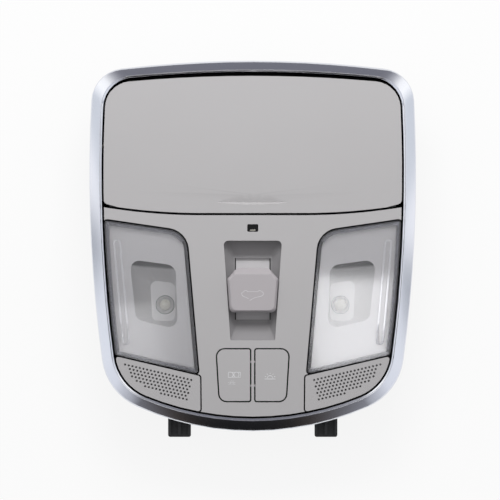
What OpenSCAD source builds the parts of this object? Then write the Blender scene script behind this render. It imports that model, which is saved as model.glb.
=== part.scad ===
// Overhead console of a car: map lamps, sunglasses compartment, sunroof switch and buttons.
// The console lies on its back: the face looks up, the windscreen end points to -Y.
// Lengths are in millimetres. Y counts from the middle of the bezel, Z from the rear plane.

/* [Overall outline] */
// Width across the bezel at its widest line
body_w = 190.6; // [186:0.2:196]
// Length of the bezel from the top edge to the bottom edge
body_l = 216.4; // [212:0.2:222]
// Height of the middle of the face above the rear plane
body_h = 50; // [48:0.5:56]
// Radius of the gently curved top edge
top_r = 644; // [550:1:800]
// Radius of the two top corners
corner_r = 20; // [18:0.5:23]
// Radius of the two long sides
side_r = 823; // [760:1:900]
// Distance of the widest line from the middle of the length
wide_y = 43; // [38:0.5:48]
// Radius of the two lower corners
low_r = 35; // [32:0.5:38]
// Radius of the bottom edge
end_r = 166; // [155:1:180]
// Radius of the crown that the face follows from top to bottom
crown_r = 1500; // [1300:10:3000]

/* [Bezel] */
// Width of the bezel strip at the top edge
bezel_top_w = 6.5; // [5.5:0.1:8]
// Width of the bezel strip at the sides
bezel_side_w = 7.2; // [6.4:0.1:8]
// Width of the bezel strip at the bottom edge
bezel_end_w = 7.6; // [6.6:0.1:8.6]
// Height of the bezel crest above the face
bezel_crest = 1.3; // [0.8:0.1:2]
// Depth of the bezel's outer edge below the face
bezel_fall = 2.9; // [2:0.1:3.4]
// Wall thickness of the bezel
bezel_wall = 1.5; // [1:0.1:2]
// Height of the bezel's rear edge, which lies on the headliner, above the rear plane
headliner_z = 40; // [36:0.5:42]
// Depth of the bezel's inner lip below the face
lip_depth = 3; // [2:0.1:4]

/* [Face panel] */
// Thickness of the face panel
panel_t = 2.5; // [2:0.1:3]
// Gap between the bezel and the pieces inside it
edge_gap = 1.1; // [0.8:0.1:1.5]
// Distance of the line between door and panel above the middle of the length
split_y = 18.6; // [17:0.1:20]
// Half length of the straight middle of that line
split_flat = 30; // [20:1:40]
// Radius of the ends of that line, which rise to the sides
split_r = 350; // [300:5:600]
// Gap between the door and the face panel
split_gap = 1.3; // [1:0.1:1.6]
// Width of the sensor window
window_w = 6.4; // [5:0.2:8]
// Length of the sensor window
window_l = 4.4; // [3:0.2:5]
// Distance of the sensor window above the middle of the length
window_y = 10.5; // [9.5:0.1:11.5]

/* [Sunglasses door] */
// Gap between the door and the bezel at the top edge
door_top_gap = 2.5; // [2.2:0.1:3]
// Radius of the door's top corners
door_corner_r = 15.5; // [15:0.5:18]
// Thickness of the door
door_t = 2.5; // [2:0.1:3]
// Distance of the hinge line above the middle of the length
hinge_y = 80; // [78:0.5:82]
// Height of the hinge line above the rear plane
hinge_z = 40.8; // [40:0.1:41.2]
// Diameter of the hinge pins
hinge_pin_d = 3.2; // [2.6:0.1:3.6]
// Running clearance round the hinge pins
hinge_play = 0.3; // [0.2:0.05:0.4]
// Width of the finger scoop
scoop_w = 44; // [36:1:50]
// Length of the finger scoop
scoop_l = 5.2; // [4:0.1:7]
// Distance of the scoop's deep edge above the middle of the length
scoop_y = 25.4; // [24:0.1:26.5]
// Depth of the finger scoop
scoop_depth = 1.7; // [1:0.1:2]

/* [Sunglasses tray] */
// Half width of the tray over its cheeks
tray_half_w = 83.5; // [82:0.1:84]
// Wall thickness of the tray
tray_t = 1.6; // [1.2:0.1:2]
// Radius of the tray's front lip about the hinge line
lip_r = 56; // [52:0.5:57]
// Depth of the front lip below the hinge line
lip_drop = 12; // [8:0.5:18]
// Depth of the cheeks below the hinge line
cheek_drop = 27; // [22:0.5:30]
// Thickness of the felt lining
lining_t = 1.2; // [0.8:0.1:2]
// Inner radius of the compartment's front wall about the hinge line
bin_r = 62.8; // [62:0.1:63.2]

/* [Damper] */
// Module of the damper's teeth
tooth_module = 1; // [1:1:1]
// Number of teeth of the pinion
pinion_teeth = 10; // [10:1:12]
// Number of teeth that a full turn of the sector would have
sector_turn_teeth = 40; // [36:1:40]
// Width of the toothed faces
tooth_w = 1.8; // [1.4:0.1:2]
// Diameter of the damper's body
damper_d = 15; // [12:0.5:16]

/* [Map lamps] */
// Gap round each lens
lens_gap = 0.8; // [0.6:0.1:1.1]
// Thickness of the lenses
lens_t = 2.2; // [1.8:0.1:2.6]
// Depth of the lens rim below the face
lens_rim_depth = 5.5; // [5:0.1:6.5]
// Width of the lens rim
lens_rim_w = 1.6; // [1.2:0.1:1.8]
// Height of the two touch ridges on each lens
ridge_h = 0.6; // [0.4:0.1:1]
// Width of the pair of ridges
ridge_pair_w = 4.7; // [4:0.1:6]
// Width of one ridge
ridge_w = 1.2; // [0.8:0.1:1.5]
// Depth of the lamp mask below the face
mask_depth = 6.2; // [5.5:0.1:7]
// Wall thickness of the lamp mask
mask_t = 1.4; // [1:0.1:1.6]
// Distance of the light source from the middle line
led_x = 51.3; // [50:0.1:53]
// Distance of the light source below the middle of the length
led_y = 34.4; // [32:0.1:36]
// Diameter of the optic over the light source
optic_d = 10.4; // [9:0.2:11]

/* [Microphone grilles] */
// Distance of the grille's inner edge from the middle line
grille_x = 30.7; // [30:0.1:31.2]
// Thickness of the grille
grille_t = 1.8; // [1.4:0.1:2.2]
// Diameter of the grille holes
hole_d = 1.25; // [1:0.05:1.4]
// Distance between neighbouring holes in a row
hole_pitch = 2.2; // [1.9:0.05:2.6]
// Diameter of a microphone capsule
mic_d = 9.6; // [8:0.2:10]

/* [Sunroof switch] */
// Half width of the well at its upper end
well_top_half = 17; // [16.5:0.1:18]
// Half width of the well at its lower end
well_low_half = 13; // [12.5:0.1:14]
// Distance of the well's upper edge above the middle of the length
well_top_y = 3.1; // [2.6:0.1:3.6]
// Distance of the well's lower edge below the middle of the length
well_low_y = 55; // [54:0.1:56]
// Depth of the well
well_depth = 9; // [8.5:0.1:9.5]
// Wall thickness of the well
well_t = 1.4; // [1.2:0.1:1.6]
// Height of the knob above the face
knob_crest = 3; // [2:0.1:4]
// Distance that the knob slides each way
knob_travel = 4; // [3:0.5:4]
// Distance that the knob is pressed down
knob_press = 1; // [0.6:0.1:1.2]

/* [Push buttons] */
// Half width of the pair of buttons at the upper end
button_half = 21; // [20:0.1:21.4]
// Distance of the buttons' upper edge below the middle of the length
button_top_y = 60.3; // [59.8:0.1:61]
// Distance of the buttons' lower edge below the middle of the length
button_low_y = 90.4; // [88:0.1:91]
// Half width of the bar between the buttons
bar_half = 0.8; // [0.6:0.1:1.2]
// Gap round the buttons
button_gap = 0.8; // [0.5:0.1:1]
// Wall thickness of the buttons
button_t = 1.6; // [1.2:0.1:2]
// Distance that a button is pressed
button_press = 1.2; // [0.8:0.1:1.4]

/* [Rear housing] */
// Wall thickness of the rear housing
housing_t = 2; // [1.6:0.1:2.1]
// Height of the lamp half's floor above the rear plane
lamp_floor_z = 16; // [14:0.5:17]
// Thickness of the floors
floor_t = 2.5; // [2:0.1:3]
// Height of the main board above the rear plane
board_z = 24.6; // [23.6:0.1:25]
// Thickness of the boards
board_t = 1.6; // [1.2:0.1:1.6]
// Distance of each hook's middle from the middle line
hook_x = 42.85; // [40:0.05:46]
// Width of a hook
hook_w = 13.3; // [11:0.1:16]
// Distance that the hooks reach below the middle of the length
hook_reach = 111.7; // [110.5:0.1:113]
// Diameter of the screw holes in the compartment's floor
screw_hole_d = 4.5; // [4:0.1:5]
// Distance between those two screw holes
screw_spacing = 120; // [110:1:124]
// Distance of the screw holes above the middle of the length
screw_y = 62; // [56:0.5:66]
// Distance of the lamp end's towers from the middle line
tower_x = 58; // [54:0.5:62]
// Distance of the towers below the middle of the length
tower_y = 68; // [64:0.5:72]
// Diameter of the bores in the towers
tower_bore_d = 4.2; // [3.6:0.1:4.6]

/* [Hidden] */
$fn = 48;

// Moves the console so that its outline, hooks included, is centred on the origin.
seat_y = (hook_reach - body_l / 2) / 2;
// Each outline: top y, top radius, corner radius, half width, widest y, side radius,
// lower corner radius, bottom y, bottom radius.
bezel_edge = [body_l / 2, top_r, corner_r, body_w / 2, wide_y, side_r, low_r, -body_l / 2, end_r];
opening = [body_l / 2 - bezel_top_w, top_r + 75, corner_r - 2, body_w / 2 - bezel_side_w, wide_y,
    side_r + 8, low_r - 5, bezel_end_w - body_l / 2, end_r];
door_edge = [opening[0] - door_top_gap, opening[1] + 80, door_corner_r, opening[3] - edge_gap,
    wide_y, opening[5] - edge_gap, opening[6], opening[7], opening[8]];
// The housing's inner face has tighter top corners, which the opening door passes.
shell_edge = [opening[0], opening[1], opening[2] - 2.5, opening[3], wide_y, opening[5], opening[6],
    opening[7], end_r];
over = 20;

// Geometry of the outlines

function unit(v) = v / norm(v);
function angle_of(v) = atan2(v[1], v[0]);
// The point at distance d1 from c1 and d2 from c2, on the upper (1) or lower (-1) side.
function meet(c1, d1, c2, d2, side) =
    let (d = norm(c2 - c1), u = unit(c2 - c1), a = (d1 * d1 - d2 * d2 + d * d) / (2 * d))
    let (h = sqrt(d1 * d1 - a * a), p = c1 + a * u + h * [-u[1], u[0]], q = c1 + a * u - h * [-u[1], u[0]])
    side * (p[1] - q[1]) > 0 ? p : q;
function arc(c, r, a0, a1, n) =
    [for (i = [0:n - 1]) let (a = a0 + (a1 - a0) * i / n) c + r * [cos(a), sin(a)]];
function centres(o) =
    let (top = [0, o[0] - o[1]], side = [o[3] - o[5], o[4]], end = [0, o[7] + o[8]])
    [top, meet(top, o[1] - o[2], side, o[5] - o[2], 1), side,
        meet(end, o[8] - o[6], side, o[5] - o[6], -1), end];
// Right half of an outline, from the top middle to the bottom middle, moved inwards by d.
function half_outline(o, d) =
    let (c = centres(o))
    let (a1 = angle_of(c[1] - c[0]), a2 = angle_of(c[1] - c[2]))
    let (a3 = angle_of(c[3] - c[2]), a4 = angle_of(c[3] - c[4]))
    concat(arc(c[0], o[1] - d, 90, a1, 5), arc(c[1], o[2] - d, a1, a2, 7), arc(c[2], o[5] - d, a2, a3, 9),
        arc(c[3], o[6] - d, a3, a4, 8), arc(c[4], o[8] - d, a4, -90, 6), [[0, o[7] + d]]);
function outline(o, d = 0) =
    let (h = half_outline(o, d), n = len(h))
    concat(h, [for (i = [n - 2:-1:1]) [-h[i][0], h[i][1]]]);
// Half width of an outline at height y along its side.
function side_x(o, y) = o[3] - o[5] + sqrt(o[5] * o[5] - (y - o[4]) * (y - o[4]));
// True where a point lies inside the lower half of an outline moved inwards by d.
function is_inside(o, d, p) =
    let (c = centres(o), q = [abs(p[0]), p[1]])
    let (a = angle_of(q - c[3]), corner = a > angle_of(c[3] - c[4]) && a < angle_of(c[3] - c[2]))
    norm(q - c[4]) < o[8] - d && norm(q - c[2]) < o[5] - d && (!corner || norm(q - c[3]) < o[6] - d);
// A polygon of [x, y, radius] corners, each rounded to its radius.
function rounded(p, n = 5) = [for (i = [0:len(p) - 1]) each round_corner(
    p[(i + len(p) - 1) % len(p)], p[i], p[(i + 1) % len(p)], n)];
function round_corner(a, b, c, n) =
    let (m = [b[0], b[1]], r = b[2], u = unit([a[0], a[1]] - m), v = unit([c[0], c[1]] - m))
    let (h = acos(u * v) / 2, o = m + unit(u + v) * r / sin(h), p = m + u * r / tan(h) - o)
    let (q = m + v * r / tan(h) - o, a0 = angle_of(p), turn = (angle_of(q) - a0 + 540) % 360 - 180)
    [for (i = [0:n]) o + r * [cos(a0 + turn * i / n), sin(a0 + turn * i / n)]];
function split_rise(x) = max(0, abs(x) - split_flat) * max(0, abs(x) - split_flat) / (2 * split_r);
function face_z(y) = body_h - crown_r + sqrt(crown_r * crown_r - y * y);

// The space below the crowned face, lowered by d.
module below_face(d) {
    translate([0, 0, body_h - crown_r - d])
        rotate([0, 90, 0]) cylinder(r = crown_r, h = body_w + 2 * over, center = true, $fn = 720);
}
// A prism of the child outline from height z up to the crowned face lowered by d.
module column(z, d) {
    intersection() {
        translate([0, 0, z]) linear_extrude(body_h + over - z) children();
        below_face(d);
    }
}
// A crowned plate of the child outline, its top d below the face.
module plate(d, t) {
    difference() {
        column(body_h / 2, d) children();
        below_face(d + t);
    }
}
module rim_2d(w) {
    difference() {
        children();
        offset(delta = -w) children();
    }
}
module seat() {
    translate([0, seat_y, 0]) children();
}
module both_sides() {
    children();
    mirror([1, 0, 0]) children();
}

// Outlines of the face

// Where the line from p along u crosses a chain of points.
function hit(chain, p, u) = [for (i = [0:len(chain) - 2])
    let (a = chain[i], e = chain[i + 1] - a, k = u[0] * e[1] - u[1] * e[0])
    let (t = k == 0 ? -1 : ((a[0] - p[0]) * e[1] - (a[1] - p[1]) * e[0]) / k)
    let (s = k == 0 ? -1 : ((a[0] - p[0]) * u[1] - (a[1] - p[1]) * u[0]) / k)
    if (t > 0 && s >= 0 && s < 1) p + t * u][0];
function with_r(p, r) = [p[0], p[1], r];
function split_line(x, d) = [x, split_y + split_rise(x) + d];
module above_split(d) {
    polygon(concat([[body_w, body_l], [-body_w, body_l]],
        [for (x = [-96:6:96]) split_line(x, d)]));
}
// Right half of the door, from the top middle to the bottom middle, lower corner rounded.
door_side = half_outline(door_edge, 0);
door_foot = hit(door_side, split_line(60, split_gap / 2), split_line(96, 0) - split_line(78, 0));
door_low_r = 2.5;
door_half = concat(
    [for (p = door_side) if (p[1] > door_foot[1] + 2 * door_low_r) p],
    round_corner([side_x(door_edge, door_foot[1] + 9), door_foot[1] + 9], with_r(door_foot, door_low_r),
        split_line(78, split_gap / 2), 5),
    [for (x = [78:-6:0]) split_line(x, split_gap / 2)]);
function mirrored(half) = [for (i = [len(half) - 1:-1:0]) if (half[i][0] > 0.01) [-half[i][0], half[i][1]]];
module door_2d() {
    polygon(concat(door_half, mirrored(door_half)));
}
inner_edge = half_outline(opening, edge_gap);
// Inner corners of the right lens and the directions of its upper and lower edges.
lens_top = [38.9, 8.2];
lens_low = [31.7, -74.8];
lens_top_slope = 8.3;
lens_low_slope = 13.2;
function heading(a) = [cos(a), sin(a)];
lens_top_out = hit(inner_edge, lens_top, heading(lens_top_slope));
lens_low_out = hit(inner_edge, lens_low, heading(lens_low_slope));
lens_corner_r = 1.6;
lens_side = [for (p = inner_edge) if (p[1] < lens_top_out[1] - 3 && p[1] > lens_low_out[1] + 3) p];
lens_points = concat(
    round_corner(lens_low, with_r(lens_top, 12.5), lens_top_out, 6),
    round_corner(lens_top, with_r(lens_top_out, lens_corner_r), lens_side[0], 3),
    lens_side,
    round_corner(lens_side[len(lens_side) - 1], with_r(lens_low_out, lens_corner_r), lens_low, 3),
    round_corner(lens_low_out, with_r(lens_low, lens_corner_r), lens_top, 3));
module lens_2d() {
    polygon(lens_points);
}
// Corners of the right grille: inner top, outer top, inner bottom.
grille_top = [grille_x,
    lens_low[1] - lens_gap / cos(lens_low_slope) + (grille_x - lens_low[0]) * tan(lens_low_slope)];
grille_top_out = hit(inner_edge, grille_top, heading(lens_low_slope));
grille_end = hit(inner_edge, grille_top, [-0.01, -1]);
grille_corner_r = 1.2;
grille_side = [for (p = inner_edge) if (p[1] < grille_top_out[1] - 2.5 && p[0] > grille_end[0] + 3) p];
grille_points = concat(
    round_corner(grille_end, with_r(grille_top, grille_corner_r), grille_top_out, 3),
    round_corner(grille_top, with_r(grille_top_out, grille_corner_r), grille_side[0], 3),
    grille_side,
    round_corner(grille_side[len(grille_side) - 1], with_r(grille_end, grille_corner_r), grille_top, 3));
module grille_2d() {
    polygon(grille_points);
}
module well_2d() {
    polygon(rounded([[-well_top_half, well_top_y, 2.5], [well_top_half, well_top_y, 2.5],
        [well_low_half, -well_low_y, 0.8], [-well_low_half, -well_low_y, 0.8]]));
}
button_in = bar_half + button_gap;
module button_2d() {
    polygon(rounded([[button_in, -button_top_y, 0.8], [button_half, -button_top_y, 4.2],
        [button_half - 1.8, -button_low_y, 4.2], [button_in, -button_low_y, 0.8]]));
}
module window_2d() {
    translate([0, window_y]) offset(r = 0.8) square([window_w - 1.6, window_l - 1.6], center = true);
}

// Bezel

// Section of the bezel as [share of the width from outside to inside, height above the face].
bezel_rise = bezel_crest + bezel_fall;
bezel_section = concat([[0, -bezel_fall - 0.6], [0.012, -bezel_fall - 0.15]],
    [for (s = [[0.05, 0.12], [0.2, 0.37], [0.38, 0.63], [0.56, 0.83], [0.72, 0.96]])
        [s[0], s[1] * bezel_rise - bezel_fall]],
    [[0.8, bezel_crest], [0.845, bezel_crest - 0.1], [0.875, bezel_crest - 0.75], [0.97, bezel_crest - 0.95],
        [1, bezel_crest - 1.4], [1, -lip_depth]]);
lip_share = (housing_t + 0.9) / bezel_side_w;
module bezel_ring() {
    outer = outline(bezel_edge);
    inner = outline(opening);
    n = len(outer);
    skirt = bezel_wall / bezel_side_w;
    under = [[1 - lip_share, -lip_depth], [0.96 - lip_share, 0.8 * bezel_rise - bezel_fall - bezel_wall],
        [skirt + 0.08, 0.3 * bezel_rise - bezel_fall - bezel_wall], [skirt, -bezel_fall - bezel_wall - 0.6]];
    section = concat(bezel_section, under);
    m = len(section);
    function spot(i, s) =
        let (p = outer[i] + (inner[i] - outer[i]) * s[0]) [p[0], p[1], face_z(p[1]) + s[1]];
    function foot(i, s) = let (p = outer[i] + (inner[i] - outer[i]) * s) [p[0], p[1], headliner_z];
    points = [for (i = [0:n - 1])
        each concat([foot(i, 0)], [for (s = section) spot(i, s)], [foot(i, skirt)])];
    k = m + 2;
    faces = [for (i = [0:n - 1], j = [0:k - 1]) each let (i2 = (i + 1) % n, j2 = (j + 1) % k)
        [[i * k + j, i2 * k + j2, i * k + j2], [i * k + j, i2 * k + j, i2 * k + j2]]];
    color([0.66, 0.7, 0.75]) seat() polyhedron(points, faces);
}

// Face panel and sensor window

module face_panel() {
    color([0.74, 0.73, 0.71]) seat() {
        plate(0, panel_t) panel_2d();
        plate(0.5, panel_t - 0.5) for (y = [-67.5, -81.4])
            translate([-bar_half - 0.6, y - 0.6]) square([2 * bar_half + 1.2, 1.2]);
        plate(panel_t - 0.5, 3) difference() {
            offset(delta = well_rim_w + 1.4) well_2d();
            offset(delta = well_rim_w + 0.2) well_2d();
        }
    }
}
module panel_2d() {
    difference() {
        polygon(outline(opening, edge_gap));
        above_split(-split_gap / 2);
        both_sides() offset(delta = lens_gap) lens_2d();
        both_sides() offset(delta = lens_gap) grille_2d();
        well_2d();
        both_sides() offset(delta = button_gap) button_2d();
        window_2d();
        both_sides() translate(lens_low_out - [12, 5]) square([20, 10]);
    }
}
module sensor_window() {
    color([0.1, 0.1, 0.12]) seat() plate(0.3, panel_t - 0.3) offset(delta = -0.1) window_2d();
}
module sensor_module() {
    low = latch_z + 4;
    top = face_z(window_y + window_l / 2 + 1.6) - panel_t;
    color([0.15, 0.15, 0.16]) seat() difference() {
        translate([-window_w / 2 - 1.5, window_y - window_l / 2 - 1.5, low])
            cube([window_w + 3, window_l + 3, top - low]);
        translate([-2, window_y - 1.2, low - 1]) cube([4, 2.4, 3]);
    }
}

// Sunglasses door and tray

module door_panel() {
    color([0.74, 0.73, 0.71]) seat() difference() {
        union() {
            plate(0, door_t) door_2d();
            plate(door_t - 0.5, scoop_depth) scoop_back_2d(0);
        }
        scoop();
        tray_screw_places() translate([0, 0, -3]) cylinder(d = 2, h = 3 + 1.6);
    }
}
// The thickened back of the door behind the scoop, or the room for it when d is above 0.
module scoop_back_2d(d) {
    translate([-scoop_w / 2 - 1.5 - d, scoop_y - 0.7 - d])
        square([scoop_w + 3 + 2 * d, scoop_l + 1.9 + 2 * d]);
}
// The scoop is a crescent: a floor that rises upwards and sideways meets a slanted, curved wall.
scoop_floor_r = (scoop_w * scoop_w / 4 + scoop_depth * scoop_depth) / (2 * scoop_depth);
scoop_wall_r = 174;
scoop_wall_slant = 0.7;
module scoop() {
    translate([0, scoop_y, face_z(scoop_y) - scoop_depth]) intersection() {
        rotate([atan(scoop_depth / scoop_l), 0, 0]) translate([0, 0, scoop_floor_r])
            rotate([90, 0, 0]) cylinder(r = scoop_floor_r, h = 60, center = true);
        translate([0, scoop_wall_r, -1]) cylinder(r1 = scoop_wall_r - scoop_wall_slant,
            r2 = scoop_wall_r + scoop_wall_slant * (scoop_depth + 2), h = scoop_depth + 3);
    }
}
// The seats of the tray's screws on the underside of the door.
module tray_screw_places() {
    for (x = [-66, 66], y = [hinge_y - lip_r + 4, hinge_y + 13.5])
        translate([x, y, face_z(y) - door_t]) children();
}
module cheek_2d(clear) {
    intersection() {
        circle(r = lip_r + 1.5 - clear);
        polygon([[10.6 - clear, 12], [10.6 - clear, -cheek_drop + 4], [0, -cheek_drop + clear],
            [-22, -cheek_drop - 2 + clear], [-60, -lip_drop + clear], [-60, 12]]);
    }
}
module glasses_tray() {
    color([0.2, 0.2, 0.21]) seat() {
        difference() {
            plate(door_t, tray_t) difference() {
                tray_2d();
                scoop_back_2d(0.3);
            }
            tray_screw_places() translate([0, 0, -3]) cylinder(d = 2.2, h = 4);
        }
        difference() {
            intersection() {
                union() {
                    both_sides() translate([tray_half_w - tray_t, 0, 0]) cheek();
                    lip_wall(lip_r, lip_r + tray_t, lip_drop);
                    translate([-tray_half_w + 0.5, hinge_y + 9, hinge_z - cheek_drop + 5])
                        cube([2 * tray_half_w - 1, tray_t, cheek_drop + 5]);
                }
                below_face(door_t + 0.5);
            }
            hinge_bore(hinge_pin_d);
        }
        sector_teeth();
    }
}
module tray_2d() {
    intersection() {
        polygon(outline(door_edge, 3));
        translate([-tray_half_w, hinge_y - lip_r - 4]) square([2 * tray_half_w, lip_r + 20]);
        above_split(3);
    }
}
module cheek() {
    translate([0, hinge_y, hinge_z]) rotate([90, 0, 90]) linear_extrude(tray_t) cheek_2d(0);
    translate([-2, hinge_y, hinge_z]) rotate([0, 90, 0]) cylinder(r = 3.9, h = tray_t + 2);
}
module lip_wall(r0, r1, drop) {
    intersection() {
        translate([0, hinge_y, hinge_z]) rotate([0, 90, 0]) difference() {
            cylinder(r = r1, h = 2 * tray_half_w - 1, center = true, $fn = 180);
            cylinder(r = r0, h = body_w, center = true, $fn = 180);
        }
        translate([-body_w / 2, -body_l / 2, hinge_z - drop])
            cube([body_w, body_l / 2 + hinge_y - 20, body_h]);
    }
}
module hinge_bore(d) {
    translate([0, hinge_y, hinge_z]) rotate([0, 90, 0]) cylinder(d = d, h = body_w + 2, center = true);
}
module tray_lining() {
    half = tray_half_w - tray_t - 5;
    low = scoop_y + scoop_l + 3;
    color([0.13, 0.13, 0.14]) seat() plate(door_t + tray_t, lining_t)
        polygon(rounded([[-half, low, 3], [half, low, 3], [half, hinge_y + 7, 3], [-half, hinge_y + 7, 3]]));
}
// The small screws: diameter of the shank, diameter and height of the head, size of its socket.
screw_d = 1.9;
screw_head_d = 4;
screw_head_h = 1.4;
screw_socket_d = 1.7;
module screw(reach) {
    difference() {
        cylinder(d = screw_head_d, h = screw_head_h);
        translate([0, 0, screw_head_h - 0.8]) cylinder(d = screw_socket_d, h = 1, $fn = 6);
    }
    translate([0, 0, -reach]) cylinder(d = screw_d, h = reach + 0.5);
}
module tray_screws() {
    color([0.6, 0.6, 0.62]) seat() tray_screw_places()
        translate([0, 0, -tray_t - 0.1]) mirror([0, 0, 1]) screw(tray_t + 1.4);
}
module hinge_pins() {
    color([0.7, 0.7, 0.72]) seat() both_sides()
        translate([tray_half_w - tray_t - 2, hinge_y, hinge_z]) rotate([0, 90, 0]) {
            cylinder(d = hinge_pin_d, h = side_x(opening, hinge_y) + housing_t - tray_half_w + tray_t + 1.5);
            translate([0, 0, -1]) cylinder(d = hinge_pin_d + 1.6, h = 1);
        }
}

// Latch and bumpers

latch_z = hinge_z - 4;
latch_w = 14;
latch_l = 13;
latch_h = 10;
module latch_striker() {
    color([0.85, 0.85, 0.83]) seat() {
        intersection() {
            lip_wall(lip_r + tray_t, lip_r + tray_t + 1.2, lip_drop - 1);
            translate([-4, -body_l, 0]) cube([8, 2 * body_l, body_h - 5]);
        }
        translate([-1.5, hinge_y - lip_r - tray_t - 2.8, latch_z - 1]) cube([3, 2.4, 2]);
        translate([-2.4, hinge_y - lip_r - tray_t - 3.6, latch_z - 1.5]) cube([4.8, 1.2, 3]);
    }
}
module latch_body() {
    front = hinge_y - lip_r - tray_t - 1.8;
    color([0.16, 0.16, 0.17]) seat() difference() {
        translate([-latch_w / 2, front - latch_l, latch_z + 3 - latch_h]) cube([latch_w, latch_l, latch_h]);
        translate([-3.2, front - 5, latch_z - 2.5]) cube([6.4, 6, 20]);
    }
}
bumper_y = 32;
module door_bumpers() {
    color([0.08, 0.08, 0.08]) seat() both_sides()
        plate(door_t, 1.5) translate([side_x(opening, bumper_y) - 2.6, bumper_y - 4])
            square([2, 8]);
}

// Rotary damper with its toothed sector

sector_pitch_r = sector_turn_teeth * tooth_module / 2;
pinion_pitch_r = pinion_teeth * tooth_module / 2;
mesh_angle = -150;
pressure_angle = 25;
function involute(rb, r) = let (t = sqrt(max(0, r * r / (rb * rb) - 1))) t * 180 / PI - atan(t);
// One tooth centred on angle a, from the root radius to the tip radius.
function tooth(z, a, root_r, tip_r) =
    let (rp = z * tooth_module / 2, rb = rp * cos(pressure_angle), half = 90 / z - 5 / rp)
    let (lead = half + involute(rb, rp), radii = [root_r, max(rb, root_r), rp - 0.3, rp, rp + 0.35, tip_r])
    concat([for (r = radii) let (w = lead - involute(rb, r)) r * [cos(a - w), sin(a - w)]],
        [for (i = [5:-1:0]) let (r = radii[i], w = lead - involute(rb, r)) r * [cos(a + w), sin(a + w)]]);
sector_x = tray_half_w + 0.1;
// Width of the web that carries the sector's teeth.
sector_web = 3.4;
module sector_teeth() {
    step = 360 / sector_turn_teeth;
    root_r = sector_pitch_r - 1.25 * tooth_module;
    translate([-sector_x - tooth_w, hinge_y, hinge_z]) rotate([90, 0, 90]) linear_extrude(tooth_w + 0.3) {
        for (i = [-1:8])
            polygon(tooth(sector_turn_teeth, mesh_angle + i * step, root_r - 0.3,
                sector_pitch_r + 0.8 * tooth_module));
        difference() {
            polygon(concat(arc([0, 0], root_r, mesh_angle - 1.6 * step, mesh_angle + 8.6 * step, 30),
                [[0, 0]]));
            circle(r = root_r - sector_web);
        }
    }
}
damper_spot = [hinge_y + (sector_pitch_r + pinion_pitch_r) * cos(mesh_angle),
    hinge_z + (sector_pitch_r + pinion_pitch_r) * sin(mesh_angle)];
damper_wall_x = side_x(opening, damper_spot[0]) + housing_t + 0.4;
damper_h = 4.4;
damper_axle_r = 1.5;
module damper_pinion() {
    step = 360 / pinion_teeth;
    root_r = pinion_pitch_r - 1.25 * tooth_module;
    color([0.93, 0.93, 0.9]) seat() translate([-sector_x - tooth_w, damper_spot[0], damper_spot[1]])
        rotate([90, 0, 90]) {
            linear_extrude(tooth_w) union() {
                circle(r = root_r);
                for (i = [0:pinion_teeth - 1])
                    polygon(tooth(pinion_teeth, mesh_angle + 180 + (i + 0.5) * step, root_r - 0.4,
                        pinion_pitch_r + 0.9 * tooth_module));
            }
            mirror([0, 0, 1]) cylinder(r = damper_axle_r, h = damper_wall_x - sector_x - tooth_w + 3);
        }
}
module damper_body() {
    color([0.14, 0.14, 0.15]) seat() translate([-damper_wall_x, damper_spot[0], damper_spot[1]])
        rotate([0, -90, 0]) difference() {
            union() {
                cylinder(d = damper_d, h = damper_h);
                linear_extrude(1.4) polygon(rounded([[-3, -12.5, 3], [3, -12.5, 3], [3, 12.5, 3],
                    [-3, 12.5, 3]]));
            }
            translate([0, 0, -1]) cylinder(r = damper_axle_r + 0.3, h = damper_h);
            for (y = [-10, 10]) translate([0, y, -1]) cylinder(r = 1, h = 4);
        }
}

// Map lamps: right side, the left one is its mirror image

ridge_line = [[79.1, 1.7], [74, -55.4]];
module ridges() {
    plate(-ridge_h, ridge_h + 0.5) difference() {
        ridge_bar(ridge_pair_w / 2);
        ridge_bar(ridge_pair_w / 2 - ridge_w);
    }
}
module ridge_bar(r) {
    d = unit(ridge_line[0] - ridge_line[1]);
    n = [-d[1], d[0]];
    ends = [ridge_line[0] + r * d, ridge_line[1] - r * d];
    polygon(rounded([with_r(ends[0] + r * n, 0.96 * r), with_r(ends[0] - r * n, 0.96 * r),
        with_r(ends[1] - r * n, 0.96 * r), with_r(ends[1] + r * n, 0.96 * r)], 4));
}
module lens() {
    color([0.9, 0.92, 0.93, 0.6]) seat() {
        plate(0, lens_t) lens_2d();
        plate(lens_t - 0.5, lens_rim_depth - lens_t + 0.5) rim_2d(lens_rim_w) lens_2d();
        ridges();
        column(switch_top + 1.25, lens_rim_depth - 0.5) intersection() {
            rim_2d(lens_rim_w) lens_2d();
            translate([pusher[0] - 6, pusher[1] - 2.5]) square([12, 5]);
        }
    }
}
// The middle of each lens switch, under the rim at the outer edge.
pusher = [side_x(opening, -20) - edge_gap - lens_rim_w - 0.2, -20];
switch_case_h = 3.4;
switch_stem_h = 4.4;
switch_top = board_z + board_t + switch_stem_h;
module left_lens() {
    mirror([1, 0, 0]) lens();
}
module right_lens() {
    lens();
}
module reflector_window_2d() {
    polygon(rounded([[71.9, -7.7, 5], [45, -11.4, 6], [43.8, -48.8, 5], [68.3, -42.8, 5]]));
}
module mask_2d() {
    offset(delta = -lens_rim_w - 0.5) lens_2d();
}
module lamp_mask() {
    color([0.8, 0.8, 0.8]) seat() difference() {
        union() {
            plate(mask_depth, mask_t) mask_2d();
            column(lamp_floor_z + floor_t, mask_depth + 0.5) rim_2d(mask_t) mask_2d();
        }
        translate([0, 0, board_z]) linear_extrude(body_h) reflector_window_2d();
        translate([pusher[0] - 3, pusher[1] - 4, lamp_floor_z])
            cube([8, 8, switch_top + 1.5 - lamp_floor_z]);
    }
}
module left_lamp_mask() {
    mirror([1, 0, 0]) lamp_mask();
}
module right_lamp_mask() {
    lamp_mask();
}
bowl_z = board_z + board_t + 0.3;
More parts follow.
